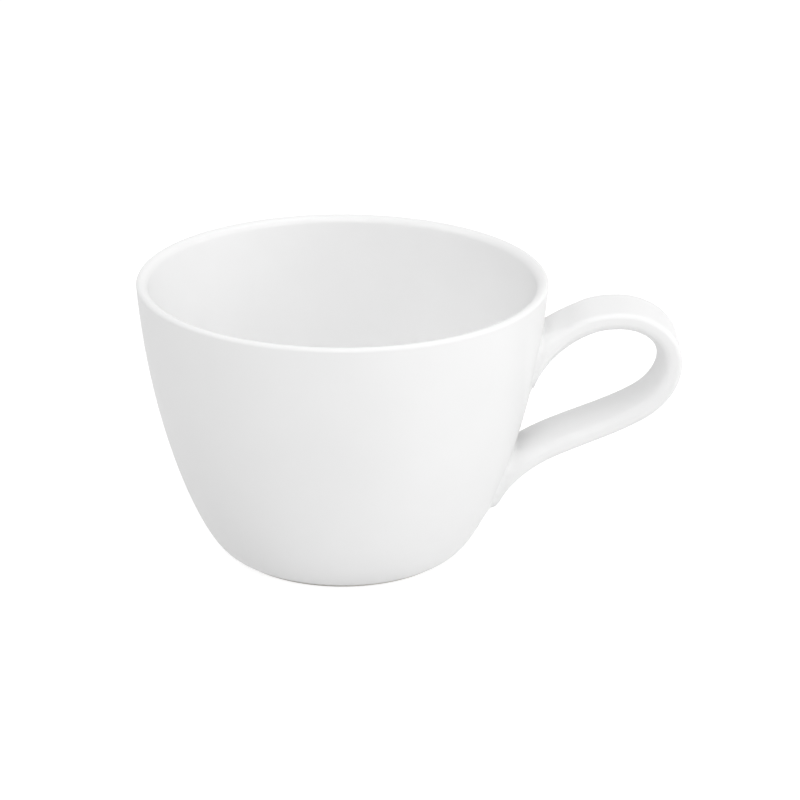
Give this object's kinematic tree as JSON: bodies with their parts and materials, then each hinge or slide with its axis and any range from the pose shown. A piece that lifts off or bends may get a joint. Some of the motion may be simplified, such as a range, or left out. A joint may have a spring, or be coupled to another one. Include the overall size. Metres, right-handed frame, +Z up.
{
  "type": "coffee cup",
  "caption": "Round tapered white porcelain coffee cup with a bare ground foot ring and a strap handle stuck on with slip.",
  "frame": {"origin": "on the cup's axis, in the plane that the foot ring stands on", "axes": "+Z up along the cup's axis, +X from the axis towards the handle, +Y completes the right hand"},
  "size_m": [0.1221, 0.092, 0.064],
  "materials": {
    "glazed_porcelain": "gloss",
    "glazed_handle": "gloss",
    "glazed_slip": "gloss",
    "bare_porcelain": "matte"
  },
  "bodies": {
    "root": {"bowl": "glazed_porcelain", "foot_ring": "bare_porcelain", "handle": "glazed_handle", "upper_slip_joint": "glazed_slip", "lower_slip_joint": "glazed_slip"}
  },
  "joints": []
}
